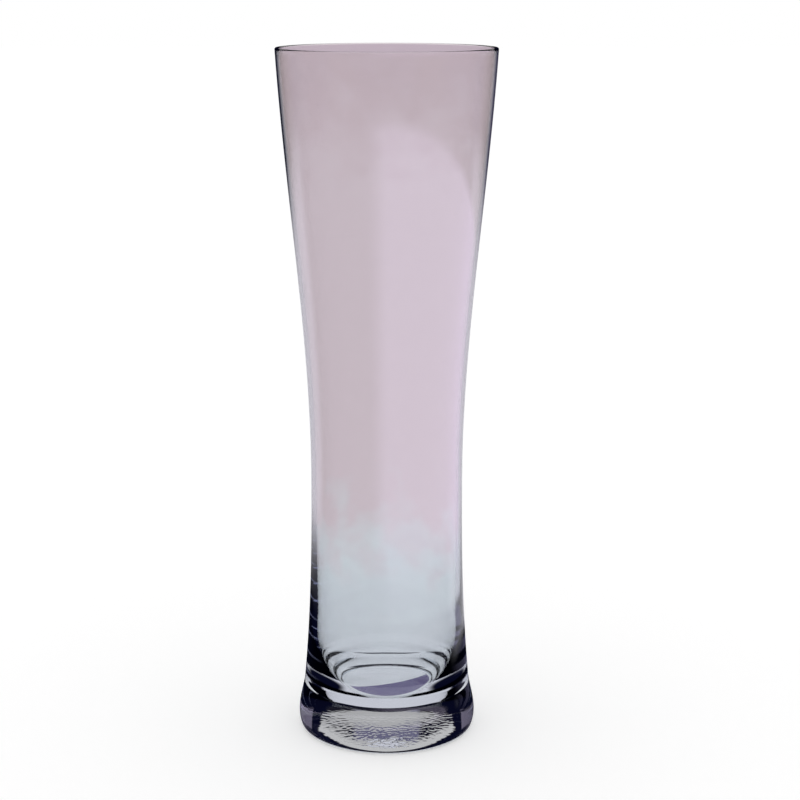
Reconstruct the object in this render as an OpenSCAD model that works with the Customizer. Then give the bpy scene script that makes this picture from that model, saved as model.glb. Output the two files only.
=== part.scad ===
// Tall waisted wheat-beer glass with a thick solid foot.
// It stands on the plane z = 0 with its axis on z, and the origin is the middle of the resting ring.
// The glass is two gathers fused while hot: the bowl, which holds the drink, and the foot under it.

/* [Bowl] */
// Height from the table to the top of the rim
glass_h = 250; // [200:5:300]
// Outer diameter at the rim
rim_d = 78; // [70:1:90]
// Wall thickness at the rim, whose lip is fire-polished to a half round
rim_wall = 1.1; // [0.8:0.1:2]
// Angle from upright at which the wall reaches the rim, in degrees
rim_lean = 3.5; // [0:0.5:6]
// Outer diameter at the waist, where the glass is narrowest
waist_d = 55.2; // [50:0.4:60]
// Height of the waist above the table
waist_z = 97; // [80:1:120]
// Wall thickness at the waist
waist_wall = 1.5; // [1:0.1:2.5]

/* [Inner bottom] */
// Height of the flat inner floor above the table, which is the depth of solid glass under the drink
floor_z = 11.5; // [10.6:0.1:14]
// Diameter of the flat inner floor
floor_d = 37.1; // [32:0.1:40]
// Angle from upright at which the inner wall leaves the floor, in degrees
floor_splay = 38; // [34:1:44]
// Radius of the soft corner between the floor and the inner wall
floor_fillet = 4; // [2:0.1:5]
// Height at which the inner wall starts to curve in towards the floor
shoulder_z = 47; // [40:1:60]
// Wall thickness at that height
shoulder_wall = 2.6; // [2:0.1:4]

/* [Foot] */
// Diameter of the foot at its widest
foot_d = 65.5; // [60:0.5:75]
// Height of the widest part of the foot above the table
belly_z = 5.8; // [4:0.1:8]
// Outer diameter of the flat ring that the glass rests on
ring_d = 61.4; // [52:0.2:62]
// Diameter at the neck, where the belly of the foot ends and the long side of the bowl begins
neck_d = 61.1; // [56:0.1:64]
// Height of the neck above the table
neck_z = 19; // [15:0.5:24]
// Angle from upright of the side at the neck, in degrees
neck_lean = 5.4; // [2:0.2:10]
// Diameter of the shallow hollow under the foot
punt_d = 46; // [36:1:50]
// Depth of that hollow at its middle
punt_depth = 0.85; // [0.4:0.05:1.5]
// Height of the flat plane on which the bowl is fused to the foot
join_z = 9; // [8.5:0.5:10]

/* [Hidden] */
$fn = 180;

// Steps along each curve of the outline
belly_steps = 12;
side_steps = 18;
flare_steps = 30;
lip_steps = 10;
fillet_steps = 6;
corner_steps = 10;
punt_steps = 14;

rim_r = rim_d / 2;
waist_r = waist_d / 2;
neck_r = neck_d / 2;
foot_r = foot_d / 2;
ring_r = ring_d / 2;
punt_r = punt_d / 2;
floor_r = floor_d / 2;

// The lip is a half round, so the wall's two sides stop half a wall below the top
lip_r = rim_wall / 2;
lip_z = glass_h - lip_r;

// Radius at height z on a smooth curve between two heights.
// r0 and r1 are the radii at z0 and z1, and s0 and s1 are how fast the radius grows with height there.
function side_curve(z, z0, r0, s0, z1, r1, s1) =
    let (h = z1 - z0, t = (z - z0) / h)
    r0 * (2 * t ^ 3 - 3 * t ^ 2 + 1) + s0 * h * (t ^ 3 - 2 * t ^ 2 + t)
    + r1 * (3 * t ^ 2 - 2 * t ^ 3) + s1 * h * (t ^ 3 - t ^ 2);

// Outer radius at height z: the foot's belly, the side up to the waist, and the flare up to the rim
function outer_r(z) =
    z < neck_z ? side_curve(z, belly_z, foot_r, 0, neck_z, neck_r, -tan(neck_lean))
    : z < waist_z ? side_curve(z, neck_z, neck_r, -tan(neck_lean), waist_z, waist_r, 0)
    : side_curve(z, waist_z, waist_r, 0, lip_z, rim_r, tan(rim_lean));

// Radius of the inner wall where it starts to curve in
shoulder_r = outer_r(shoulder_z) - shoulder_wall;

// Inner radius at height z, from the floor's edge to the rim
function inner_r(z) =
    z < shoulder_z ? side_curve(z, floor_z, floor_r, tan(floor_splay), shoulder_z, shoulder_r, 0)
    : z < waist_z ? side_curve(z, shoulder_z, shoulder_r, 0, waist_z, waist_r - waist_wall, 0)
    : side_curve(z, waist_z, waist_r - waist_wall, 0, lip_z, rim_r - rim_wall, tan(rim_lean));

// Points on the outer or the inner side from one height to another, in equal steps
function outer_points(z0, z1, steps) =
    [for (i = [0 : steps]) let (z = z0 + (z1 - z0) * i / steps) [outer_r(z), z]];
function inner_points(z0, z1, steps) =
    [for (i = [0 : steps]) let (z = z0 + (z1 - z0) * i / steps) [inner_r(z), z]];

// Points on an arc of an ellipse about a centre, from one angle to another
function arc_points(centre, half_w, half_h, from, to, steps) =
    [for (i = [0 : steps])
        let (a = from + (to - from) * i / steps)
        [centre[0] + half_w * cos(a), centre[1] + half_h * sin(a)]];

// The corner of the floor is rounded by an arc that touches the floor and the inner wall.
// The wall rises from the floor at this angle to the floor.
floor_rise = 90 - floor_splay;
fillet_reach = floor_fillet * tan(floor_rise / 2);
fillet_top_z = floor_z + fillet_reach * sin(floor_rise);
fillet_centre = [floor_r - fillet_reach, floor_z + floor_fillet];

// The hollow under the foot is part of a sphere of this radius
punt_curve_r = (punt_r ^ 2 + punt_depth ^ 2) / (2 * punt_depth);
punt_half_angle = asin(punt_r / punt_curve_r);

// The bowl's half section, from its flat underside up the outside, over the lip and down the inside
module bowl_section() {
    polygon(concat(
        [[0, join_z]],
        outer_points(join_z, neck_z, belly_steps),
        outer_points(neck_z, waist_z, side_steps),
        outer_points(waist_z, lip_z, flare_steps),
        arc_points([rim_r - lip_r, lip_z], lip_r, lip_r, 0, 180, lip_steps),
        inner_points(lip_z, waist_z, flare_steps),
        inner_points(waist_z, shoulder_z, side_steps),
        inner_points(shoulder_z, fillet_top_z, side_steps),
        arc_points(fillet_centre, floor_fillet, floor_fillet, floor_rise - 90, -90, fillet_steps),
        [[0, floor_z]]
    ));
}

// The foot's half section, from the top of the punt out to the resting ring and up over the belly
module foot_section() {
    polygon(concat(
        arc_points(
            [0, punt_depth - punt_curve_r], punt_curve_r, punt_curve_r,
            90, 90 - punt_half_angle, punt_steps
        ),
        arc_points([ring_r, belly_z], foot_r - ring_r, belly_z, -90, 0, corner_steps),
        outer_points(belly_z, join_z, belly_steps),
        [[0, join_z]]
    ));
}

module bowl() {
    color([0.77, 0.73, 0.79, 0.45])
        rotate_extrude()
            bowl_section();
}

module foot() {
    color([0.70, 0.72, 0.78, 0.6])
        rotate_extrude()
            foot_section();
}

bowl();
foot();
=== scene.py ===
# %% [markdown]
# # A waisted wheat-beer glass, blown in clear glass on a thick solid foot
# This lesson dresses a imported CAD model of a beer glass. The CAD part holds two nodes, the bowl and the
# foot, and they are the frame that everything here is fitted to. A real glass is one piece of glass with
# no joint inside it, and light shows at once if there is one, so the looks are made as one closed skin
# that stands for both nodes.

# %% Load the frame
import math

import bmesh
import bpy
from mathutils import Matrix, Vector


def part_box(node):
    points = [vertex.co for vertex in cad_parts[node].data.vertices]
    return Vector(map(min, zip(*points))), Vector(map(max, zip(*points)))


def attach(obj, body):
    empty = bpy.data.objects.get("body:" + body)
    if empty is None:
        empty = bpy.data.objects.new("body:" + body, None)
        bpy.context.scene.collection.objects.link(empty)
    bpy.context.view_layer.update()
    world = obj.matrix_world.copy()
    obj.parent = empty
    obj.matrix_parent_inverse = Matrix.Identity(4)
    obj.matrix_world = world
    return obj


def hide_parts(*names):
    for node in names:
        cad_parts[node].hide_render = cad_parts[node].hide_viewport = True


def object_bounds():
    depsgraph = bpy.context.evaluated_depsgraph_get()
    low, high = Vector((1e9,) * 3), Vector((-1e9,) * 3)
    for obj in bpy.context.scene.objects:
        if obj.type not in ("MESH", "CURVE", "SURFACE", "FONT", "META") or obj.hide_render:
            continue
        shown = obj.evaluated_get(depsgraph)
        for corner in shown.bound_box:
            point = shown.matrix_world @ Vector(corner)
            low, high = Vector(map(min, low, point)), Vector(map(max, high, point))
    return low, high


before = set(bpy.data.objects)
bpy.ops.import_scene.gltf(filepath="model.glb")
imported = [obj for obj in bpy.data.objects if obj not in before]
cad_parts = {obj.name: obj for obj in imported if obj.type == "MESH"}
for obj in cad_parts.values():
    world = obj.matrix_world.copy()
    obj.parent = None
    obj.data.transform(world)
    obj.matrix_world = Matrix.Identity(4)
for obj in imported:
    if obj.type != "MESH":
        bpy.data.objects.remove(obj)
cad_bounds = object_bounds()

MM = 0.001
print("CAD box in mm:", [round(v / MM, 2) for corner in cad_bounds for v in corner])

# %% [markdown]
# ## The camera comes first
# The rim is seen almost edge on and the foot from well above, so the lens looks from a little over the
# rim, slightly down at the middle of the glass. The distance and the height follow from how round those
# two ellipses are. The glass stands a little left of the middle of the picture. A camera could be turned
# to give that, but a small sideways shift of the lens does it and keeps the glass's sides even.

# %% Camera
CAMERA_DISTANCE = 662.5 * MM
CAMERA_HEIGHT = 277.5 * MM
AIM_HEIGHT = 124.15 * MM
LENS_MM = 84.38
SENSOR_MM = 36
SHIFT_RIGHT = 0.0166

camera_data = bpy.data.cameras.new("camera")
camera_data.lens = LENS_MM
camera_data.sensor_width = SENSOR_MM
camera_data.shift_x = SHIFT_RIGHT
camera = bpy.data.objects.new("camera", camera_data)
bpy.context.scene.collection.objects.link(camera)
camera.location = (0, -CAMERA_DISTANCE, CAMERA_HEIGHT)
look = Vector((0, 0, AIM_HEIGHT)) - camera.location
camera.rotation_euler = look.to_track_quat("-Z", "Y").to_euler()
bpy.context.scene.camera = camera
print("camera looks down by", round(math.degrees(math.atan2(-look.z, look.y)), 2), "degrees")

# %% [markdown]
# ## The half section of the glass
# A glass like this is blown into a turning mould, so every section across it is a circle and one outline
# says the whole shape. It could be traced as a row of loose points, but then no size could be read from
# it. Here it is drawn from a few sizes: how wide the glass is at the rim, the waist, the neck and the
# foot, and how thick the wall is on the way down. Between two of those heights the side is a smooth cubic
# curve that leaves and arrives at a given lean.

# %% Sizes of the outside
RIM_RADIUS = cad_bounds[1].x
RIM_LEAN = math.radians(3.5)
WAIST_RADIUS = 27.6 * MM
WAIST_Z = 97 * MM
NECK_RADIUS = 30.55 * MM
NECK_Z = 19 * MM
NECK_LEAN = math.radians(5.4)
FOOT_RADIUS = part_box("foot")[1].x
BELLY_Z = 5.8 * MM
RING_RADIUS = 30.7 * MM
PUNT_RADIUS = 23 * MM
PUNT_DEPTH = 0.85 * MM
widths = [round(2 * radius / MM, 1) for radius in (RIM_RADIUS, WAIST_RADIUS, FOOT_RADIUS)]
print("rim, waist and foot across in mm:", widths)

# %% Sizes of the inside, and the lip
RIM_WALL = 1.1 * MM
WAIST_WALL = 1.5 * MM
SHOULDER_Z = 47 * MM
SHOULDER_WALL = 2.6 * MM
FLOOR_Z = 11.5 * MM
FLOOR_RADIUS = 18.55 * MM
FLOOR_SPLAY = math.radians(38)
FLOOR_FILLET = 4 * MM
LIP_RADIUS = RIM_WALL / 2
LIP_Z = cad_bounds[1].z - LIP_RADIUS
print("solid glass under the drink in mm:", round(FLOOR_Z / MM, 1))


# %% The curve between two heights
def side_curve(z, low, high):
    """Radius at height z between two stations, each (height, radius, growth of the radius with height)."""
    (z0, r0, s0), (z1, r1, s1) = low, high
    h = z1 - z0
    t = (z - z0) / h
    return (r0 * (2 * t**3 - 3 * t**2 + 1) + s0 * h * (t**3 - 2 * t**2 + t)
            + r1 * (3 * t**2 - 2 * t**3) + s1 * h * (t**3 - t**2))


def radius_at(z, stations):
    """Radius at height z on the curve through the stations."""
    for low, high in zip(stations, stations[1:]):
        if z <= high[0]:
            return side_curve(z, low, high)
    return stations[-1][1]


# %% The stations that the outside and the inside pass through
OUTER_STATIONS = [
    (BELLY_Z, FOOT_RADIUS, 0),
    (NECK_Z, NECK_RADIUS, -math.tan(NECK_LEAN)),
    (WAIST_Z, WAIST_RADIUS, 0),
    (LIP_Z, RIM_RADIUS, math.tan(RIM_LEAN)),
]
INNER_STATIONS = [
    (FLOOR_Z, FLOOR_RADIUS, math.tan(FLOOR_SPLAY)),
    (SHOULDER_Z, radius_at(SHOULDER_Z, OUTER_STATIONS) - SHOULDER_WALL, 0),
    (WAIST_Z, WAIST_RADIUS - WAIST_WALL, 0),
    (LIP_Z, RIM_RADIUS - RIM_WALL, math.tan(RIM_LEAN)),
]
print("stations outside and inside:", len(OUTER_STATIONS), len(INNER_STATIONS))


# %% Points along a side and along an arc
def side_points(stations, z0, z1, step):
    """Points along a side from height z0 to z1, about one step apart."""
    count = max(2, round(abs(z1 - z0) / step))
    heights = [z0 + (z1 - z0) * i / count for i in range(count + 1)]
    return [(radius_at(z, stations), z) for z in heights]


def arc_points(centre, half_w, half_h, start, end, count):
    """Points on an arc of an ellipse, angles in degrees."""
    angles = [math.radians(start + (end - start) * i / count) for i in range(count + 1)]
    return [(centre[0] + half_w * math.cos(a), centre[1] + half_h * math.sin(a)) for a in angles]


# %% [markdown]
# ### One line from the hollow underneath to the inner floor
# The line starts in the middle of the punt, the shallow hollow under the foot. It runs out over the flat
# ring that the glass rests on, round the belly of the foot, up the outside, over the fire-polished lip and
# down the inside to the floor. Clear glass shows every facet, so the points stand closest where the curve
# is tight, and the long even sides of the bowl get few.

# %% Corners that the sizes above lead to
floor_rise = math.pi / 2 - FLOOR_SPLAY
fillet_reach = FLOOR_FILLET * math.tan(floor_rise / 2)
fillet_top_z = FLOOR_Z + fillet_reach * math.sin(floor_rise)
fillet_centre = (FLOOR_RADIUS - fillet_reach, FLOOR_Z + FLOOR_FILLET)
punt_curve = (PUNT_RADIUS**2 + PUNT_DEPTH**2) / (2 * PUNT_DEPTH)
punt_angle = math.degrees(math.asin(PUNT_RADIUS / punt_curve))
print("the punt is part of a ball of", round(punt_curve / MM), "mm radius")

# %% The whole outline
PUNT_STEPS = 60
RING_POINTS_MM = range(24, 31)
EDGE_STEPS = 24
BELLY_STEP = 0.5 * MM
WALL_STEP = 3 * MM
LIP_STEPS = 14
BOTTOM_STEP = 0.75 * MM
FILLET_STEPS = 10
FLOOR_SHARES = (0.8, 0.6, 0.4, 0.2, 0)

outline = arc_points((0, PUNT_DEPTH - punt_curve), punt_curve, punt_curve, 90, 90 - punt_angle, PUNT_STEPS)
outline += [(r * MM, 0) for r in RING_POINTS_MM]
outline += arc_points((RING_RADIUS, BELLY_Z), FOOT_RADIUS - RING_RADIUS, BELLY_Z, -90, 0, EDGE_STEPS)
outline += side_points(OUTER_STATIONS, BELLY_Z, NECK_Z, BELLY_STEP)[1:]
outline += side_points(OUTER_STATIONS, NECK_Z, LIP_Z, WALL_STEP)[1:]
outline += arc_points((RIM_RADIUS - LIP_RADIUS, LIP_Z), LIP_RADIUS, LIP_RADIUS, 0, 180, LIP_STEPS)[1:]
outline += side_points(INNER_STATIONS, LIP_Z, SHOULDER_Z, WALL_STEP)[1:]
outline += side_points(INNER_STATIONS, SHOULDER_Z, fillet_top_z, BOTTOM_STEP)[1:]
fillet_start = math.degrees(floor_rise) - 90
outline += arc_points(fillet_centre, FLOOR_FILLET, FLOOR_FILLET, fillet_start, -90, FILLET_STEPS)[1:]
outline += [(FLOOR_RADIUS * share, FLOOR_Z) for share in FLOOR_SHARES]
print("outline points:", len(outline))

# %% [markdown]
# ## Turning the outline into glass
# The outline could be spun with the Screw modifier, but the skin also has to carry the fine bumps under
# the foot, so one Geometry Nodes tree does both. It lays a flat grid, one column for each point of the
# outline and one row for each step around, lifts every grid point to its place on the turned shape, and
# welds the seam and the two poles.


# %% A helper that adds a node
def add_node(tree, kind, inputs=None, **settings):
    """Adds a node to a tree. settings are its own properties, and inputs maps an input's name or number
    to a plain value, to another node's output, or to another node, whose first output in use is linked."""
    node = tree.nodes.new(kind)
    for name, value in settings.items():
        setattr(node, name, value)
    for key, value in (inputs or {}).items():
        if isinstance(value, bpy.types.Node):
            value = next(socket for socket in value.outputs if socket.enabled)
        if isinstance(value, bpy.types.NodeSocket):
            tree.links.new(value, node.inputs[key])
        else:
            node.inputs[key].default_value = value
    return node


MATH = "ShaderNodeMath"
RANGE = "ShaderNodeMapRange"

# %% [markdown]
# ### The tree's inputs
# A tree that a maker can use again says its sizes on its face: the points of the outline, the steps
# around, and how far out, how deep and how far apart the bumps are.

# %% What the tree is given
TREE_INPUTS = (
    ("Outline", "Geometry"),
    ("Points", "Int"),
    ("Steps Around", "Int"),
    ("Stipple Inner Radius", "Float"),
    ("Stipple Outer Radius", "Float"),
    ("Stipple Depth", "Float"),
    ("Stipple Spacing", "Float"),
    ("Weld Distance", "Float"),
    ("Material", "Material"),
)


def tree_with_inputs(name):
    """An empty Geometry Nodes tree with the inputs above and one mesh, the glass, as its output."""
    tree = bpy.data.node_groups.new(name, "GeometryNodeTree")
    for label, kind in TREE_INPUTS:
        tree.interface.new_socket(label, in_out="INPUT", socket_type="NodeSocket" + kind)
    tree.interface.new_socket("Glass", in_out="OUTPUT", socket_type="NodeSocketGeometry")
    return tree


print("inputs of the turning tree:", len(TREE_INPUTS))


# %% From the outline to a turned skin
def turned_skin(tree, given):
    """Adds the nodes that turn the outline, a chain of points (radius, 0, height), into a welded skin."""
    rows = add_node(tree, MATH, {0: given["Steps Around"], 1: 1}, operation="ADD")
    grid = add_node(tree, "GeometryNodeMeshGrid", {"Vertices X": given["Points"], "Vertices Y": rows})
    index = add_node(tree, "GeometryNodeInputIndex")
    column = add_node(tree, MATH, {0: index, 1: rows}, operation="DIVIDE")
    column = add_node(tree, MATH, {0: column}, operation="FLOOR")
    passed = add_node(tree, MATH, {0: column, 1: rows}, operation="MULTIPLY")
    step = add_node(tree, MATH, {0: index, 1: passed}, operation="SUBTRACT")
    angle = add_node(tree, MATH, {0: step, 1: math.tau}, operation="MULTIPLY")
    angle = add_node(tree, MATH, {0: angle, 1: given["Steps Around"]}, operation="DIVIDE")
    place = add_node(tree, "GeometryNodeInputPosition")
    point = add_node(tree, "GeometryNodeSampleIndex",
                     {"Geometry": given["Outline"], "Value": place, "Index": column},
                     data_type="FLOAT_VECTOR", domain="POINT")
    turned = add_node(tree, "ShaderNodeVectorRotate", {"Vector": point, "Angle": angle},
                      rotation_type="Z_AXIS")
    placed = add_node(tree, "GeometryNodeSetPosition", {"Geometry": grid, "Position": turned})
    return add_node(tree, "GeometryNodeMergeByDistance",
                    {"Geometry": placed, "Distance": given["Weld Distance"]})


# %% [markdown]
# ### The mottled ring under the foot
# The light field in the foot is mottled, as the underside of a foot is where it cooled in its mould. A
# bump texture in the material would give nearly the same look, but the bumps are shape, so they are made
# in the mesh. They are rounded cells about 1 mm apart, much shallower than they are wide, and they fill
# the hollow but for its very middle and its edge.

# %% Bumps under the foot
# A bump stands out up to this share of the spacing from its middle, and sinks in past it
BUMP_LEVEL = 0.6
# Only the skin below this height carries bumps
UNDER_FOOT = 3 * MM


def stippled(tree, skin, given):
    """Adds the nodes that push the skin down and up by little bumps in the ring under the foot."""
    inner = given["Stipple Inner Radius"]
    outer = given["Stipple Outer Radius"]
    spacing = given["Stipple Spacing"]
    place = add_node(tree, "GeometryNodeInputPosition")
    parts = add_node(tree, "ShaderNodeSeparateXYZ", {0: place}).outputs
    flat_place = add_node(tree, "ShaderNodeCombineXYZ", {"X": parts["X"], "Y": parts["Y"]})
    reach = add_node(tree, "ShaderNodeVectorMath", {0: flat_place}, operation="LENGTH")
    inner_full = add_node(tree, MATH, {0: inner, 1: spacing}, operation="ADD")
    grow = add_node(tree, RANGE, {"Value": reach, "From Min": inner, "From Max": inner_full},
                    interpolation_type="SMOOTHSTEP")
    outer_full = add_node(tree, MATH, {0: outer, 1: spacing}, operation="SUBTRACT")
    fade = add_node(tree, RANGE, {"Value": reach, "From Min": outer, "From Max": outer_full},
                    interpolation_type="SMOOTHSTEP")
    under = add_node(tree, MATH, {0: parts["Z"], 1: UNDER_FOOT}, operation="LESS_THAN")
    scale = add_node(tree, MATH, {0: 1.0, 1: spacing}, operation="DIVIDE")
    cells = add_node(tree, "ShaderNodeTexVoronoi", {"Vector": flat_place, "Scale": scale},
                     voronoi_dimensions="2D", feature="SMOOTH_F1")
    bump = add_node(tree, MATH, {0: BUMP_LEVEL, 1: cells}, operation="SUBTRACT")
    downward = add_node(tree, MATH, {0: given["Stipple Depth"], 1: -1}, operation="MULTIPLY")
    drop = grow
    for share in (fade, under, bump, downward):
        drop = add_node(tree, MATH, {0: drop, 1: share}, operation="MULTIPLY")
    offset = add_node(tree, "ShaderNodeCombineXYZ", {"Z": drop})
    return add_node(tree, "GeometryNodeSetPosition", {"Geometry": skin, "Offset": offset})


# %% The whole tree
def turning_tree():
    """A chain of points becomes a closed, smooth, turned skin with a stippled ring under it."""
    tree = tree_with_inputs("turned_glass")
    given = add_node(tree, "NodeGroupInput").outputs
    skin = stippled(tree, turned_skin(tree, given), given)
    smooth = add_node(tree, "GeometryNodeSetShadeSmooth", {"Geometry": skin})
    real = add_node(tree, "GeometryNodeRealizeInstances", {"Geometry": smooth})
    glazed = add_node(tree, "GeometryNodeSetMaterial", {"Geometry": real, "Material": given["Material"]})
    add_node(tree, "NodeGroupOutput", {"Glass": glazed})
    print("nodes in the turning tree:", len(tree.nodes))
    return tree


# %% [markdown]
# ### Running a tree
# A modifier's inputs are set by their identifiers, before Blender works the tree out for the first time.
# What comes out is kept as a plain mesh, so that nothing live is left behind the piece.


# %% From a tree to a plain mesh
def run_tree(name, source_mesh, tree, values):
    """Runs a Geometry Nodes tree on a mesh and returns its result as a plain mesh object at the origin."""
    carrier = bpy.data.objects.new(name + "_carrier", source_mesh)
    bpy.context.scene.collection.objects.link(carrier)
    modifier = carrier.modifiers.new("turning", "NODES")
    modifier.node_group = tree
    for socket in tree.interface.items_tree:
        if socket.in_out == "INPUT" and socket.name in values:
            modifier[socket.identifier] = values[socket.name]
    graph = bpy.context.evaluated_depsgraph_get()
    made = bpy.data.meshes.new_from_object(carrier.evaluated_get(graph), depsgraph=graph)
    carrier.modifiers.clear()
    bpy.data.objects.remove(carrier)
    made.name = name
    piece = bpy.data.objects.new(name, made)
    bpy.context.scene.collection.objects.link(piece)
    return piece


# %% [markdown]
# ## Soda-lime glass, blown and fire-polished
# Clear glass is the least forgiving material to fake. What the eye reads is what it bends and mirrors:
# dark lines where the wall turns edge-on, a bright clear middle, and rings in the thick bottom. All of
# that comes from the true shape, from the studio round it, and from the index of refraction, which is
# 1.52 for soda-lime glass. Fire leaves the skin smooth, so it has no roughness at all. The material only
# adds a faint tint, lilac in the bowl and cooler towards the foot. Soft clouds of noise, about 12 mm
# across, break up the border between the two, as in the photograph.


# %% Colours
def srgb(code):
    """A hex colour as linear red, green, blue, alpha."""
    channels = [int(code[i:i + 2], 16) / 255 for i in (1, 3, 5)]
    linear = [c / 12.92 if c <= 0.04045 else ((c + 0.055) / 1.055) ** 2.4 for c in channels]
    return (*linear, 1.0)


# Height above the table in mm, and the tint of the glass there
TINT_STOPS = (
    (0, "#DEE1E6"),
    (38, "#E0E4E9"),
    (62, "#E3E8EC"),
    (82, "#E4DDE2"),
    (205, "#E4DDE2"),
    (240, "#DFD6DB"),
)
print("tint stops:", len(TINT_STOPS))

# %% Glass material
GLASS_IOR = 1.52
CLOUD_SIZE = 12 * MM
CLOUD_DETAIL = 3.0
# From the thinnest cloud to the thickest, the tint moves down the glass by this much
CLOUD_THIN = 0.3
CLOUD_THICK = 0.7
CLOUD_REACH = 30 * MM
TINT_TOP = 250 * MM


def soda_lime_glass():
    """Soda-lime glass, blown and fire-polished: clear, glossy, a faint tint that cools towards the foot."""
    material = bpy.data.materials.new("soda_lime_glass_blown")
    material.use_nodes = True
    tree = material.node_tree
    tree.nodes.clear()
    place = add_node(tree, "ShaderNodeTexCoord").outputs["Object"]
    parts = add_node(tree, "ShaderNodeSeparateXYZ", {0: place}).outputs
    clouds = add_node(tree, "ShaderNodeTexNoise",
                      {"Vector": place, "Scale": 1 / CLOUD_SIZE, "Detail": CLOUD_DETAIL})
    wander = add_node(tree, RANGE, {"Value": clouds, "From Min": CLOUD_THIN, "From Max": CLOUD_THICK,
                                    "To Min": -CLOUD_REACH / 2, "To Max": CLOUD_REACH / 2})
    height = add_node(tree, MATH, {0: parts["Z"], 1: wander}, operation="ADD")
    height = add_node(tree, MATH, {0: height, 1: TINT_TOP}, operation="DIVIDE")
    tints = add_node(tree, "ShaderNodeValToRGB", {0: height})
    stops = tints.color_ramp.elements
    while len(stops) < len(TINT_STOPS):
        stops.new(1.0)
    for stop, (z, code) in zip(stops, TINT_STOPS):
        stop.position = z * MM / TINT_TOP
        stop.color = srgb(code)
    shader = add_node(tree, "ShaderNodeBsdfPrincipled",
                      {"Base Color": tints, "Roughness": 0.0, "IOR": GLASS_IOR, "Transmission Weight": 1.0})
    add_node(tree, "ShaderNodeOutputMaterial", {"Surface": shader})
    return material


glass_material = soda_lime_glass()
print("glass material:", glass_material.name, " index of refraction:", GLASS_IOR)

# %% [markdown]
# ## The glass itself
# The outline goes in as a chain of points, and the finished skin comes out. 288 steps around are one for
# every 0.85 mm of the rim, fine enough that no facet shows in the bent light.

# %% The glass
glass_sizes = {
    "Points": len(outline),
    "Steps Around": 288,
    "Stipple Inner Radius": 2 * MM,
    "Stipple Outer Radius": 19.5 * MM,
    "Stipple Depth": 0.022 * MM,
    "Stipple Spacing": 1 * MM,
    "Weld Distance": 0.002 * MM,
    "Material": glass_material,
}
outline_mesh = bpy.data.meshes.new("outline")
outline_edges = [(i, i + 1) for i in range(len(outline) - 1)]
outline_mesh.from_pydata([(r, 0, z) for r, z in outline], outline_edges, [])
glass = run_tree("beer_glass", outline_mesh, turning_tree(), glass_sizes)
print("glass:", len(glass.data.vertices), "points,", len(glass.data.polygons), "faces")

# %% [markdown]
# ### Faces outwards
# Glass bends light by which side of its skin a path is on, so a face that looks inwards would show as a
# black patch. The normals are worked out again over the whole closed skin, and a count of open edges says
# whether it is closed.

# %% Faces outwards
skin = bmesh.new()
skin.from_mesh(glass.data)
bmesh.ops.recalc_face_normals(skin, faces=skin.faces)
open_edges = sum(1 for edge in skin.edges if not edge.is_manifold)
print("open edges:", open_edges, " volume in ml:", round(skin.calc_volume() * 1e6, 2))
skin.to_mesh(glass.data)
skin.free()

# %% [markdown]
# ### Tied to the frame
# The glass rides on the part's only body and stands for both CAD nodes, which are hidden by it.

# %% Tied to the frame
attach(glass, "root")
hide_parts("bowl", "foot")
print(glass.name, "stands for the bowl and the foot")

# %% [markdown]
# ## The studio, and how clear glass is lit
# The photograph is the usual one for glassware, on white. Clear glass has hardly a colour of its own, so
# what shows in it is the studio around it, most of it out of the picture: black cards, a lit screen, a
# window of light, a darker room. Real cards could be stood round the glass, but they would also darken
# the table and show through the walls. So nothing stands in this scene. The floor and the world hold the
# studio as a pattern, and the kind of path that the light takes decides who sees it:
# - a path that was mirrored on or inside the glass and crossed fewer than four of its surfaces sees the
#   studio. Such paths make the dark edges, the wedges at the sides of the thick bottom, the halves of the
#   bowl and the light and dark fields in the foot;
# - any other path through the glass sees white, painted shade under the foot and two thin painted
#   shadow lines through the inner bottom, and a light grey on the far table where it crossed one wall
#   alone;
# - the camera sees a plain floor and a white world, and the light that falls on everything is plain.

# %% Colours that the table and the world share
WHITE = srgb("#FFFFFF")
CARD_BLACK = srgb("#0A0C22")
print("card black, linear:", [round(c, 4) for c in CARD_BLACK[:3]])

# %% [markdown]
# ### How the studio is written down
# A pattern of this size could be drawn as a hundred nodes by hand. It is easier to read as a list of
# rows. A row holds a name, what is done, and what it is done to: a number, a colour, or the name of a row
# above it. Every row becomes one node. A ramp is 0 at its first end and 1 at its second, with a smooth
# change between, and a tint goes from its first colour to its second as its share goes from 0 to 1.

# %% What a row can do
# Each is a kind of node, its settings, and the inputs that the row's values go to
RAMP = (RANGE, {"interpolation_type": "SMOOTHSTEP"}, (0, 1, 2))
TINT = ("ShaderNodeMix", {"data_type": "RGBA"}, (0, 6, 7))
LENGTH = ("ShaderNodeVectorMath", {"operation": "LENGTH"}, (0,))
PLUS = (MATH, {"operation": "ADD"}, (0, 1))
MINUS = (MATH, {"operation": "SUBTRACT"}, (0, 1))
TIMES = (MATH, {"operation": "MULTIPLY"}, (0, 1))
LARGER = (MATH, {"operation": "MAXIMUM"}, (0, 1))
SMALLER = (MATH, {"operation": "MINIMUM"}, (0, 1))
ABOVE = (MATH, {"operation": "GREATER_THAN"}, (0, 1))
BELOW = (MATH, {"operation": "LESS_THAN"}, (0, 1))
SIZE = (MATH, {"operation": "ABSOLUTE"}, (0,))
FOLD = (MATH, {"operation": "PINGPONG"}, (0, 1))
BEARING = (MATH, {"operation": "ARCTAN2"}, (0, 1))
ELEVATION = (MATH, {"operation": "ARCSINE"}, (0,))


def add_rows(tree, known, rows):
    """Adds one node for each row and keeps it in known, under the row's name."""
    for name, (kind, settings, sockets), *reads in rows:
        values = [known[value] if isinstance(value, str) else value for value in reads]
        known[name] = add_node(tree, kind, dict(zip(sockets, values)), **settings)


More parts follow.
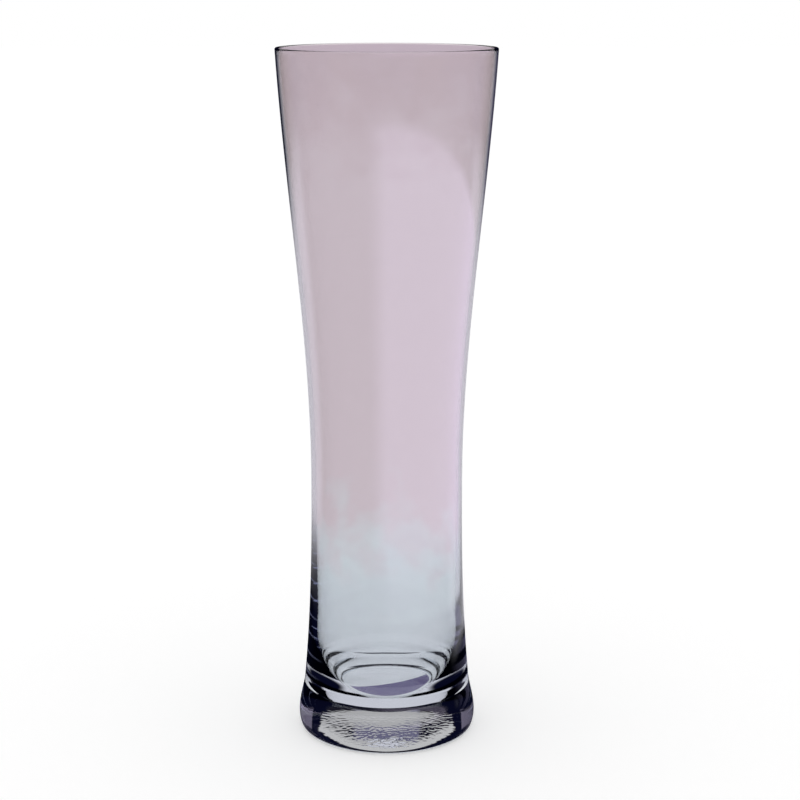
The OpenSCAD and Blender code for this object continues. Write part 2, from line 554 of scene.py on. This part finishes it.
# %% [markdown]
# ### Telling the paths apart
# Light Path says how many surfaces a path has crossed and how often it was mirrored. Both counts are
# whole numbers, so the limits lie halfway between two of them. The rows call a path solid if it sees the
# studio, because most such paths run inside solid glass, and bent if the glass mirrored or bent it.

# %% What every pattern starts from
FEW_SURFACES = 3.5
NO_MIRROR = 0.5
PATH_ROWS = (
    ("few surfaces", BELOW, "Transmission Depth", FEW_SURFACES),
    ("mirrored", ABOVE, "Glossy Depth", NO_MIRROR),
    ("solid", TIMES, "few surfaces", "mirrored"),
    ("bent", LARGER, "Is Glossy Ray", "Is Transmission Ray"),
)


def known_at_start(tree, coordinates):
    """Empties a tree and returns what its rows can read: the place, its parts, and the kind of path."""
    tree.nodes.clear()
    place = add_node(tree, "ShaderNodeTexCoord").outputs[coordinates]
    known = {"place": place}
    known.update(add_node(tree, "ShaderNodeSeparateXYZ", {0: place}).outputs.items())
    known.update(add_node(tree, "ShaderNodeLightPath").outputs.items())
    add_rows(tree, known, PATH_ROWS)
    return known


# %% [markdown]
# ## The table
# A pale matt top that takes the glass's soft shadow. It is large, so that its edge lies near the horizon,
# and a hair lower than the glass, because two faces on one plane would flicker.

# %% The floor's plane
FLOOR_SIDE = 12000 * MM
FLOOR_DROP = 0.05 * MM
half = FLOOR_SIDE / 2
corners = [(-half, -half, 0), (half, -half, 0), (half, half, 0), (-half, half, 0)]
floor_mesh = bpy.data.meshes.new("floor")
floor_mesh.from_pydata(corners, [], [(0, 1, 2, 3)])
floor = bpy.data.objects.new("floor", floor_mesh)
floor.location.z = -FLOOR_DROP
bpy.context.scene.collection.objects.link(floor)
print("floor side in m:", FLOOR_SIDE)

# %% [markdown]
# ### Places on the table
# Places are given as seen from the glass: reach is how far out, and turn is which way, 0 at the back and
# half a circle at the front, positive on the right. A path that isn't solid is called clear.

# %% Places on the table
table_rows = [
    ("reach", LENGTH, "place"),
    ("across", SIZE, "X"),
    ("x squared", TIMES, "X", "X"),
    ("turn", BEARING, "X", "Y"),
    ("turn from back", SIZE, "turn"),
    ("clear", MINUS, 1.0, "solid"),
]
print("the table's rows start with", [row[0] for row in table_rows])

# %% [markdown]
# ### Black cards close by
# Two black cards lie left and right behind the glass, with a clear strip between them, and join further
# out. They give the dark wedges at both sides of the thick bottom. Right under the foot the table is
# painted black in a round patch, painted shade of the foot, which darkens the band over the light field.
# Paths that were mirrored more than once see the side cards run on to the front.

# %% Black cards
CARD_INNER_EDGE = 24 * MM
CARD_INNER_SOFT = 2 * MM
CARD_NEAR_END = 2 * MM
CARD_NEAR_SOFT = 3 * MM
ONE_MIRROR = 1.5
CARD_JOIN = 44 * MM
CARD_JOIN_SOFT = 20 * MM
SHADE_DISC_RADIUS = 22 * MM
SHADE_DISC_SOFT = 0.5 * MM
table_rows += [
    ("outwards", RAMP, "across", CARD_INNER_EDGE - CARD_INNER_SOFT, CARD_INNER_EDGE + CARD_INNER_SOFT),
    ("at the back", RAMP, "Y", CARD_NEAR_END - CARD_NEAR_SOFT, CARD_NEAR_END + CARD_NEAR_SOFT),
    ("mirrored again", ABOVE, "Glossy Depth", ONE_MIRROR),
    ("back or again", LARGER, "at the back", "mirrored again"),
    ("side cards", TIMES, "outwards", "back or again"),
    ("joined", RAMP, "reach", CARD_JOIN, CARD_JOIN + CARD_JOIN_SOFT),
    # Painted shade: the table is black right under the foot for solid paths.
    ("shade disc", RAMP, "reach", SHADE_DISC_RADIUS + SHADE_DISC_SOFT, SHADE_DISC_RADIUS),
    ("sides or joined", LARGER, "side cards", "joined"),
    ("cards and foot shade", LARGER, "shade disc", "sides or joined"),
]
print("clear strip between the cards in mm:", 2 * CARD_INNER_EDGE / MM)

# %% [markdown]
# ### Where the cards end
# Higher up, the thick part of the wall shows the cards further out. The wedges grow faint upwards in the
# photograph, so the cards fade out with distance, and the right wedge is shorter, so the right one fades
# sooner.

# %% Where the cards end
CARD_FADE_START = 155 * MM
CARD_FADE_END = 300 * MM
RIGHT_SOFT = 30 * MM
RIGHT_FADE_START = 114 * MM
RIGHT_FADE_END = 141 * MM
table_rows += [
    ("fade", RAMP, "reach", CARD_FADE_END, CARD_FADE_START),
    ("right", RAMP, "X", -RIGHT_SOFT, RIGHT_SOFT),
    ("left", MINUS, 1.0, "right"),
    ("right end", RAMP, "reach", RIGHT_FADE_END, RIGHT_FADE_START),
    ("right fade", LARGER, "right end", "left"),
    ("both fades", SMALLER, "fade", "right fade"),
    ("cards", TIMES, "cards and foot shade", "both fades"),
]
print("cards end at", CARD_FADE_END / MM, "mm, on the right at", RIGHT_FADE_END / MM, "mm")

# %% [markdown]
# ### Creases on the cards
# The wedge on the left of the glass is black with fine light lines, and the one on the right is grey with
# broad dark ones. Both sets of lines are one set of creases, 24 mm apart, that lie round the glass and
# run slightly outwards towards the front.

# %% Creases
CREASE_SPACING = 24 * MM
CREASE_TWIST = -36 * MM
CREASE_START = 40 * MM
CREASE_START_SOFT = 5 * MM
FINE_WIDTH = 1.8 * MM
FINE_CORE = 0.6 * MM
BROAD_WIDTH = 7 * MM
BROAD_CORE = 4.2 * MM
table_rows += [
    ("twist", TIMES, "turn from back", CREASE_TWIST),
    ("spiral", PLUS, "reach", "twist"),
    ("off crease", FOLD, "spiral", CREASE_SPACING / 2),
    ("past the foot", RAMP, "reach", CREASE_START, CREASE_START + CREASE_START_SOFT),
    ("fine line", RAMP, "off crease", FINE_WIDTH, FINE_CORE),
    ("fine creases", TIMES, "fine line", "past the foot"),
    ("broad line", RAMP, "off crease", BROAD_WIDTH, BROAD_CORE),
    ("broad creases", TIMES, "broad line", "past the foot"),
]
print("creases every", CREASE_SPACING / MM, "mm")

# %% The cards' colours
CREASE_LIGHT = srgb("#7C82A4")
CARD_GREY = srgb("#666480")
GREY_START = 60 * MM
GREY_SOFT = 10 * MM
table_rows += [
    ("past the black", RAMP, "reach", GREY_START, GREY_START + GREY_SOFT),
    ("grey card", TIMES, "right", "past the black"),
    ("left colour", TINT, "fine creases", CARD_BLACK, CREASE_LIGHT),
    ("right colour", TINT, "broad creases", CARD_GREY, CARD_BLACK),
    ("card colour", TINT, "grey card", "left colour", "right colour"),
]
print("the right card turns grey", GREY_START / MM, "mm out")

# %% [markdown]
# ### Dark posts far away
# Straight behind, straight in front and at both sides the far table turns dark, as if a post stood
# there, and between them it stays light. The thin wall shows the posts as the dark line down each edge of
# the bowl, towards the rim.

# %% Posts
POST_SPACING = math.radians(90)
POST_DARK = math.radians(20)
POST_CLEAR = math.radians(38)
POST_START = 700 * MM
POST_FULL = 1700 * MM
table_rows += [
    ("off post", FOLD, "turn", POST_SPACING / 2),
    ("post side", RAMP, "off post", POST_CLEAR, POST_DARK),
    ("post reach", RAMP, "reach", POST_START, POST_FULL),
    ("posts", TIMES, "post side", "post reach"),
    ("cards and posts", LARGER, "cards", "posts"),
    ("dark", TIMES, "cards and posts", "solid"),
]
print("posts:", round(math.tau / POST_SPACING))

# %% [markdown]
# ### The dark cloth at the front
# The outer skin mirrors the table in front of the glass. Paths that were mirrored there and have crossed
# no surface see it black close by, and that keeps the dark parts of the foot from turning grey.

# %% Front cloth
NO_SURFACE = 0.5
CLOTH_TURN = math.radians(80)
CLOTH_SOFT = math.radians(10)
CLOTH_END = 300 * MM
CLOTH_FULL = 200 * MM
table_rows += [
    ("outer skin", BELOW, "Transmission Depth", NO_SURFACE),
    ("close by", RAMP, "reach", CLOTH_END, CLOTH_FULL),
    ("in front", RAMP, "turn from back", CLOTH_TURN - CLOTH_SOFT, CLOTH_TURN + CLOTH_SOFT),
    ("close skin", TIMES, "outer skin", "close by"),
    ("close solid", TIMES, "close skin", "solid"),
    ("cloth", TIMES, "close solid", "in front"),
]
print("the cloth ends", CLOTH_END / MM, "mm out")

# %% [markdown]
# ### The room and the lit screen
# Past the cards, the table at the sides and in front shows the darker room, and far out the room comes
# round towards the back. A lit screen covers the right, from the back right corner round to the front.
# The bowl's wall mirrors both. The room darkens its left half and its edges near the rim, the screen
# lightens its right half, and the screen's far end is the soft curve near the top of that half.

# %% Room
ROOM_TURN = math.radians(65)
ROOM_SOFT = math.radians(10)
FAR_TURN = math.radians(33)
FAR_SOFT = math.radians(9)
FAR_START = 800 * MM
FAR_FULL = 1500 * MM
table_rows += [
    ("room side", RAMP, "turn from back", ROOM_TURN - ROOM_SOFT, ROOM_TURN + ROOM_SOFT),
    ("far side", RAMP, "turn from back", FAR_TURN - FAR_SOFT, FAR_TURN + FAR_SOFT),
    ("far reach", RAMP, "reach", FAR_START, FAR_FULL),
    ("far room", TIMES, "far side", "far reach"),
    ("near and far", LARGER, "room side", "far room"),
    ("past the cards", RAMP, "reach", CARD_FADE_START, CARD_FADE_END),
    ("room", TIMES, "near and far", "past the cards"),
]
print("the room starts", round(math.degrees(ROOM_TURN)), "degrees from the back")

# %% Lit screen
SCREEN_TURN = math.radians(118)
SCREEN_HALF = math.radians(74)
SCREEN_SOFT = math.radians(16)
SCREEN_FULL = 855 * MM
SCREEN_END = 950 * MM
SCREEN_GAIN = 0.4
table_rows += [
    ("from screen", MINUS, "turn", SCREEN_TURN),
    ("off screen", FOLD, "from screen", math.pi),
    ("screen side", RAMP, "off screen", SCREEN_HALF + SCREEN_SOFT, SCREEN_HALF - SCREEN_SOFT),
    ("screen reach", RAMP, "reach", SCREEN_END, SCREEN_FULL),
    ("whole screen", TIMES, "screen side", "screen reach"),
    ("screen", TIMES, "whole screen", "past the cards"),
    ("seen screen", TIMES, "screen", "solid"),
    ("extra light", TIMES, "seen screen", SCREEN_GAIN),
    ("glow", PLUS, "extra light", 1.0),
]
print("the screen covers", round(2 * math.degrees(SCREEN_HALF)), "degrees")

# %% [markdown]
# ### Painted shade under the foot
# Through the inner floor the photograph shows a violet-grey field with a slanting back edge. It is
# painted shade on the table under the glass, the shadow of the foot's near rim. The patch is round and
# its front edge curves with the foot. It is seen by clear paths.

# %% Painted shade under the foot
FOOT_SHADE_COLOUR = srgb("#776A96")
FOOT_SHADE_RADIUS = 23 * MM
FOOT_SHADE_RIM_SOFT = 0.5 * MM
FOOT_SHADE_BACK = 3.6 * MM
FOOT_SHADE_SLANT = 0.4
FOOT_SHADE_SLANT_GROWTH = 0.004 / MM
FOOT_SHADE_FRONT = -9.2 * MM
FOOT_SHADE_FRONT_CURVE = 0.02 / MM
FOOT_SHADE_SOFT = 0.3 * MM
# Painted shade: the table turns violet-grey here for clear paths, as the shade under the foot.
table_rows += [
    ("slant growth", TIMES, "X", FOOT_SHADE_SLANT_GROWTH),
    ("slant", PLUS, FOOT_SHADE_SLANT, "slant growth"),
    ("back rise", TIMES, "X", "slant"),
    ("past back", MINUS, "Y", "back rise"),
    ("foot shade back", RAMP, "past back", FOOT_SHADE_BACK + FOOT_SHADE_SOFT, FOOT_SHADE_BACK - FOOT_SHADE_SOFT),
    ("foot shade round", RAMP, "reach", FOOT_SHADE_RADIUS + FOOT_SHADE_RIM_SOFT, FOOT_SHADE_RADIUS),
    ("front curve", TIMES, "x squared", FOOT_SHADE_FRONT_CURVE),
    ("past front", MINUS, "Y", "front curve"),
    ("foot shade front", RAMP, "past front", FOOT_SHADE_FRONT - FOOT_SHADE_SOFT, FOOT_SHADE_FRONT + FOOT_SHADE_SOFT),
    ("round back", TIMES, "foot shade back", "foot shade round"),
    ("whole foot shade", TIMES, "round back", "foot shade front"),
    ("mat", TIMES, "whole foot shade", "clear"),
]
print("foot shade across in mm:", 2 * FOOT_SHADE_RADIUS / MM)

# %% [markdown]
# ### Two painted shadow lines behind the foot
# The thick corner between wall and floor is dark in the photograph, as two thin arcs. They are painted
# shadow on the table: one is part of a ring round the foot, its contact shadow, the other a flatter bow
# behind it, and both are seen by clear paths.

# %% Painted shadow lines
RING_SHADOW_LINE = 31.8 * MM
RING_SHADOW_LINE_HALF = 3.2 * MM
RING_SHADOW_LINE_CORE = 1.92 * MM
RING_SHADOW_LINE_BACK = 26 * MM
SHADOW_BOW = 41 * MM
SHADOW_BOW_CURVE = 0.024 / MM
SHADOW_BOW_HALF = 0.5 * MM
SHADOW_BOW_CORE = 0.3 * MM
SHADOW_BOW_SIDE = 15 * MM
SHADOW_END_SOFT = 2 * MM
# Painted shadow: two thin dark lines on the table, round the foot and behind it.
table_rows += [
    ("from ring", MINUS, "reach", RING_SHADOW_LINE),
    ("off ring", SIZE, "from ring"),
    ("ring", RAMP, "off ring", RING_SHADOW_LINE_HALF, RING_SHADOW_LINE_CORE),
    ("ring back", RAMP, "Y", RING_SHADOW_LINE_BACK - SHADOW_END_SOFT, RING_SHADOW_LINE_BACK + SHADOW_END_SOFT),
    ("ring shadow line", TIMES, "ring", "ring back"),
    ("bow curve", TIMES, "x squared", SHADOW_BOW_CURVE),
    ("bow line", PLUS, "Y", "bow curve"),
    ("from bow", MINUS, "bow line", SHADOW_BOW),
    ("off bow", SIZE, "from bow"),
    ("bow band", RAMP, "off bow", SHADOW_BOW_HALF, SHADOW_BOW_CORE),
    ("bow ends", RAMP, "across", SHADOW_BOW_SIDE, SHADOW_BOW_SIDE - SHADOW_END_SOFT),
    ("bow shadow line", TIMES, "bow band", "bow ends"),
    ("both shadow lines", LARGER, "ring shadow line", "bow shadow line"),
    ("shadow lines", TIMES, "both shadow lines", "clear"),
]
print("shadow lines", RING_SHADOW_LINE / MM, "and", SHADOW_BOW / MM, "mm out")

# %% [markdown]
# ### The far table through one wall
# Inside the rim the back wall is seen alone. Two walls tint the light twice and one wall once, so a white
# table would leave a bright sliver there. The photograph has none, so the far table is light grey to
# paths that crossed one wall alone.

# %% Far table
HORIZON_COLOUR = srgb("#DFD6DF")
HORIZON_START = 900 * MM
HORIZON_FULL = 1500 * MM
table_rows += [
    ("far table", RAMP, "reach", HORIZON_START, HORIZON_FULL),
    ("one wall", TIMES, "few surfaces", "far table"),
]
print("the far table starts", HORIZON_START / MM, "mm out")

# %% [markdown]
# ### The table's colours, one over another
# The patterns are laid over the plain table like sheets of paper, the topmost last. The last row is no
# colour: it lifts the table to white where the camera looks at it.

# %% The table's layers
TABLE_IN_GLASS = srgb("#E6E6EE")
ROOM_BROWN = srgb("#6C665A")
SCREEN_COLOUR = srgb("#EEE2FF")
LIFT = 0.3
table_rows += [
    ("room tone", TINT, "room", TABLE_IN_GLASS, ROOM_BROWN),
    ("studio tone", TINT, "screen", "room tone", SCREEN_COLOUR),
    ("clear tone", TINT, "one wall", WHITE, HORIZON_COLOUR),
    ("bare table", TINT, "solid", "clear tone", "studio tone"),
    ("with cards", TINT, "dark", "bare table", "card colour"),
    ("with cloth", TINT, "cloth", "with cards", CARD_BLACK),
    # Painted shade under the foot, then the painted shadow lines round it
    ("with foot shade", TINT, "mat", "with cloth", FOOT_SHADE_COLOUR),
    ("table in glass", TINT, "shadow lines", "with foot shade", CARD_BLACK),
    ("lift", TIMES, "Is Camera Ray", LIFT),
]
print("rows in the table's pattern:", len(table_rows))

# %% [markdown]
# ### Matt white board
# Glassware is photographed on matt board, because a shiny one would mirror it. It has no gloss, and the
# shadow on it is soft. To the camera it is a plain white board, and a path that the glass bent or
# mirrored sees the pattern above on it, which shines by itself, so that no shadow falls on it.

# %% The table's material
TABLE_WHITE = srgb("#F4F4F4")


def matt_table_top():
    """Matt white board with a soft shadow, which shows the studio's pattern to bent paths alone."""
    material = bpy.data.materials.new("matt_table_top")
    material.use_nodes = True
    tree = material.node_tree
    known = known_at_start(tree, "Object")
    add_rows(tree, known, table_rows)
    in_glass = add_node(tree, "ShaderNodeEmission",
                        {"Color": known["table in glass"], "Strength": known["glow"]})
    matt = add_node(tree, "ShaderNodeBsdfDiffuse", {"Color": TABLE_WHITE})
    lift = add_node(tree, "ShaderNodeEmission", {"Strength": known["lift"]})
    top = add_node(tree, "ShaderNodeAddShader", {0: matt, 1: lift})
    table = add_node(tree, "ShaderNodeMixShader", {0: known["bent"], 1: top, 2: in_glass})
    add_node(tree, "ShaderNodeOutputMaterial", {"Surface": table})
    return material


floor.data.materials.append(matt_table_top())
print("floor material:", floor.data.materials[0].name)

# %% [markdown]
# ## The white surround
# The world is an even white light, and white to the camera. The same mirrored paths as before see the
# upper part of the studio in it. Places are given as angles from the glass: azimuth, how far round from
# straight behind on either side, and elevation, how high.

# %% Places in the world
SOFT = math.radians(0.8)
world_rows = [
    ("turn", BEARING, "X", "Y"),
    ("azimuth", SIZE, "turn"),
    ("elevation", ELEVATION, "Z"),
]
print("edges in the world are", round(2 * math.degrees(SOFT), 1), "degrees soft")

# %% [markdown]
# ### The window behind the glass
# A low window of light straight behind gives the bright field in the foot. The field's edges aren't
# square in the photograph, so the window's bottom rises and its top sinks towards the sides, its sides
# lean in, and its top dips a little on the left, which the foot shows on the right. A faint veil over
# its upper half makes the field a little greyer there.

# %% The window's bent lines
WINDOW_RISE = 0.12
WINDOW_DROOP = 0.06
DIP_START = math.radians(-2)
DIP_FULL = math.radians(-11)
DIP_DEPTH = math.radians(0.8)
WINDOW_SLANT = 0.7
WINDOW_MIDDLE = math.radians(18.5)
world_rows += [
    ("rise", TIMES, "azimuth", WINDOW_RISE),
    ("bottom line", MINUS, "elevation", "rise"),
    ("droop", TIMES, "azimuth", WINDOW_DROOP),
    ("drooping", PLUS, "elevation", "droop"),
    ("on the left", RAMP, "turn", DIP_START, DIP_FULL),
    ("dip", TIMES, "on the left", DIP_DEPTH),
    ("top line", PLUS, "drooping", "dip"),
    ("over middle", MINUS, "elevation", WINDOW_MIDDLE),
    ("lean", TIMES, "over middle", WINDOW_SLANT),
    ("side line", PLUS, "azimuth", "lean"),
]
print("the window's top dips", round(math.degrees(DIP_DEPTH), 1), "degrees on the left")

# %% The window
WINDOW_LOW = math.radians(13)
WINDOW_HIGH = math.radians(25)
WINDOW_SIDE = math.radians(39)
VEIL_LOW = math.radians(20.5)
VEIL_HIGH = math.radians(22)
WINDOW_COLOUR = srgb("#DCDAD8")
VEIL_COLOUR = srgb("#C6C4C3")
world_rows += [
    ("window bottom", RAMP, "bottom line", WINDOW_LOW - SOFT, WINDOW_LOW + SOFT),
    ("window top", RAMP, "top line", WINDOW_HIGH + SOFT / 2, WINDOW_HIGH - SOFT / 2),
    ("window sides", RAMP, "side line", WINDOW_SIDE + SOFT, WINDOW_SIDE - SOFT),
    ("window band", TIMES, "window bottom", "window top"),
    ("window", TIMES, "window band", "window sides"),
    ("veil", RAMP, "elevation", VEIL_LOW, VEIL_HIGH),
    ("pane", TINT, "veil", WINDOW_COLOUR, VEIL_COLOUR),
]
print("window in degrees:", round(math.degrees(WINDOW_HIGH - WINDOW_LOW)), "high",
      round(2 * math.degrees(WINDOW_SIDE)), "wide")

# %% [markdown]
# ### The room to the sides and the lamp's housing over the window
# At both sides of the foot stands a greyer field, which is the room. Low in the light field lies a
# mottled violet-grey band: the bumps under the foot turn the light up past the window's top there, and
# what it meets is the underside of a lamp's housing, which fades to black further up.

# %% Room and housing
ROOM_SIDE = math.radians(47)
ROOM_LOW = math.radians(15)
ROOM_HIGH = math.radians(26.9)
ROOM_COLOUR = srgb("#7D7688")
HOUSING_LOW = math.radians(18)
HOUSING_FULL = math.radians(28)
HOUSING_END = math.radians(34)
HOUSING_SIDE = math.radians(15)
HOUSING_COLOUR = srgb("#74728C")
world_rows += [
    ("room side", RAMP, "azimuth", ROOM_SIDE - SOFT, ROOM_SIDE + SOFT),
    ("room top", RAMP, "top line", ROOM_HIGH + SOFT, ROOM_HIGH - SOFT),
    ("room bottom", RAMP, "elevation", ROOM_LOW - SOFT, ROOM_LOW + SOFT),
    ("room band", TIMES, "room side", "room top"),
    ("room", TIMES, "room band", "room bottom"),
    ("housing top", RAMP, "top line", HOUSING_END, HOUSING_FULL),
    ("housing sides", RAMP, "azimuth", HOUSING_SIDE + 2 * SOFT, HOUSING_SIDE - 2 * SOFT),
    ("housing bottom", RAMP, "elevation", HOUSING_LOW - SOFT, HOUSING_LOW + SOFT),
    ("housing band", TIMES, "housing top", "housing sides"),
    ("housing", TIMES, "housing band", "housing bottom"),
]
print("the room starts", round(math.degrees(ROOM_SIDE)), "degrees from straight behind")

# %% [markdown]
# ### A front light and a white ceiling
# Seen from other sides the foot would be black all over, so a low band of light runs round the front
# half of the world too. High up the studio is white.

# %% Front light and ceiling
FRONT_SIDE = math.radians(88)
FRONT_HIGH = math.radians(27)
CEILING_LOW = math.radians(45)
CEILING_HIGH = math.radians(60)
world_rows += [
    ("front side", RAMP, "azimuth", FRONT_SIDE - SOFT, FRONT_SIDE + SOFT),
    ("front top", RAMP, "elevation", FRONT_HIGH + SOFT, FRONT_HIGH - SOFT),
    ("front band", TIMES, "front side", "front top"),
    ("front light", TIMES, "front band", "room bottom"),
    ("ceiling", RAMP, "elevation", CEILING_LOW, CEILING_HIGH),
]
print("the ceiling is white from", round(math.degrees(CEILING_HIGH)), "degrees up")

# %% [markdown]
# ### The world's colours, one over another
# Under everything the world is black, as the cards are. The room, the housing, the window, the front
# light and the ceiling are laid over it, and then white goes over all of it for the paths that don't see
# the studio.

# %% The world's layers
world_rows += [
    ("room tone", TINT, "room", CARD_BLACK, ROOM_COLOUR),
    ("housing tone", TINT, "housing", "room tone", HOUSING_COLOUR),
    ("window tone", TINT, "window", "housing tone", "pane"),
    ("front tone", TINT, "front light", "window tone", WINDOW_COLOUR),
    ("studio tone", TINT, "ceiling", "front tone", WHITE),
    ("tone in glass", TINT, "solid", WHITE, "studio tone"),
    ("seen tone", TINT, "bent", WHITE, "tone in glass"),
    ("looked at", LARGER, "Is Camera Ray", "bent"),
]
print("rows in the world's pattern:", len(world_rows))

# %% [markdown]
# ### The light
# What lights the table and the glass is plain white at four fifths of full strength, the same from every
# side, at which a colour comes out about as it is written. What is looked at is kept apart from it, so
# the pattern above throws no light.

# %% The world
LIGHT_LEVEL = 0.8


def white_surround():
    """Even white light from all round, white to the camera, with the studio for mirrored paths."""
    world = bpy.data.worlds.new("white_surround")
    world.use_nodes = True
    tree = world.node_tree
    known = known_at_start(tree, "Generated")
    add_rows(tree, known, world_rows)
    seen = add_node(tree, "ShaderNodeBackground", {"Color": known["seen tone"], "Strength": 1.0})
    light = add_node(tree, "ShaderNodeBackground", {"Color": WHITE, "Strength": LIGHT_LEVEL})
    both = add_node(tree, "ShaderNodeMixShader", {0: known["looked at"], 1: light, 2: seen})
    add_node(tree, "ShaderNodeOutputWorld", {"Surface": both})
    return world


bpy.context.scene.world = white_surround()
print("light level:", LIGHT_LEVEL)

# %% [markdown]
# ## How far a path of light is followed
# A path through glass crosses many surfaces, so it is followed far. A path that is mirrored again and
# again inside the glass loses itself in a real photograph too, so mirrored steps are few, and such paths
# turn dark: they give the thin dark rings in the thick bottom.

# %% Path lengths and view transform
CROSSED_STEPS = 24
MIRRORED_STEPS = 2
scene = bpy.context.scene
scene.view_settings.view_transform = "Standard"
scene.cycles.max_bounces = CROSSED_STEPS
scene.cycles.transmission_bounces = CROSSED_STEPS
scene.cycles.glossy_bounces = MIRRORED_STEPS
print("crossed steps:", CROSSED_STEPS, " mirrored steps:", MIRRORED_STEPS)
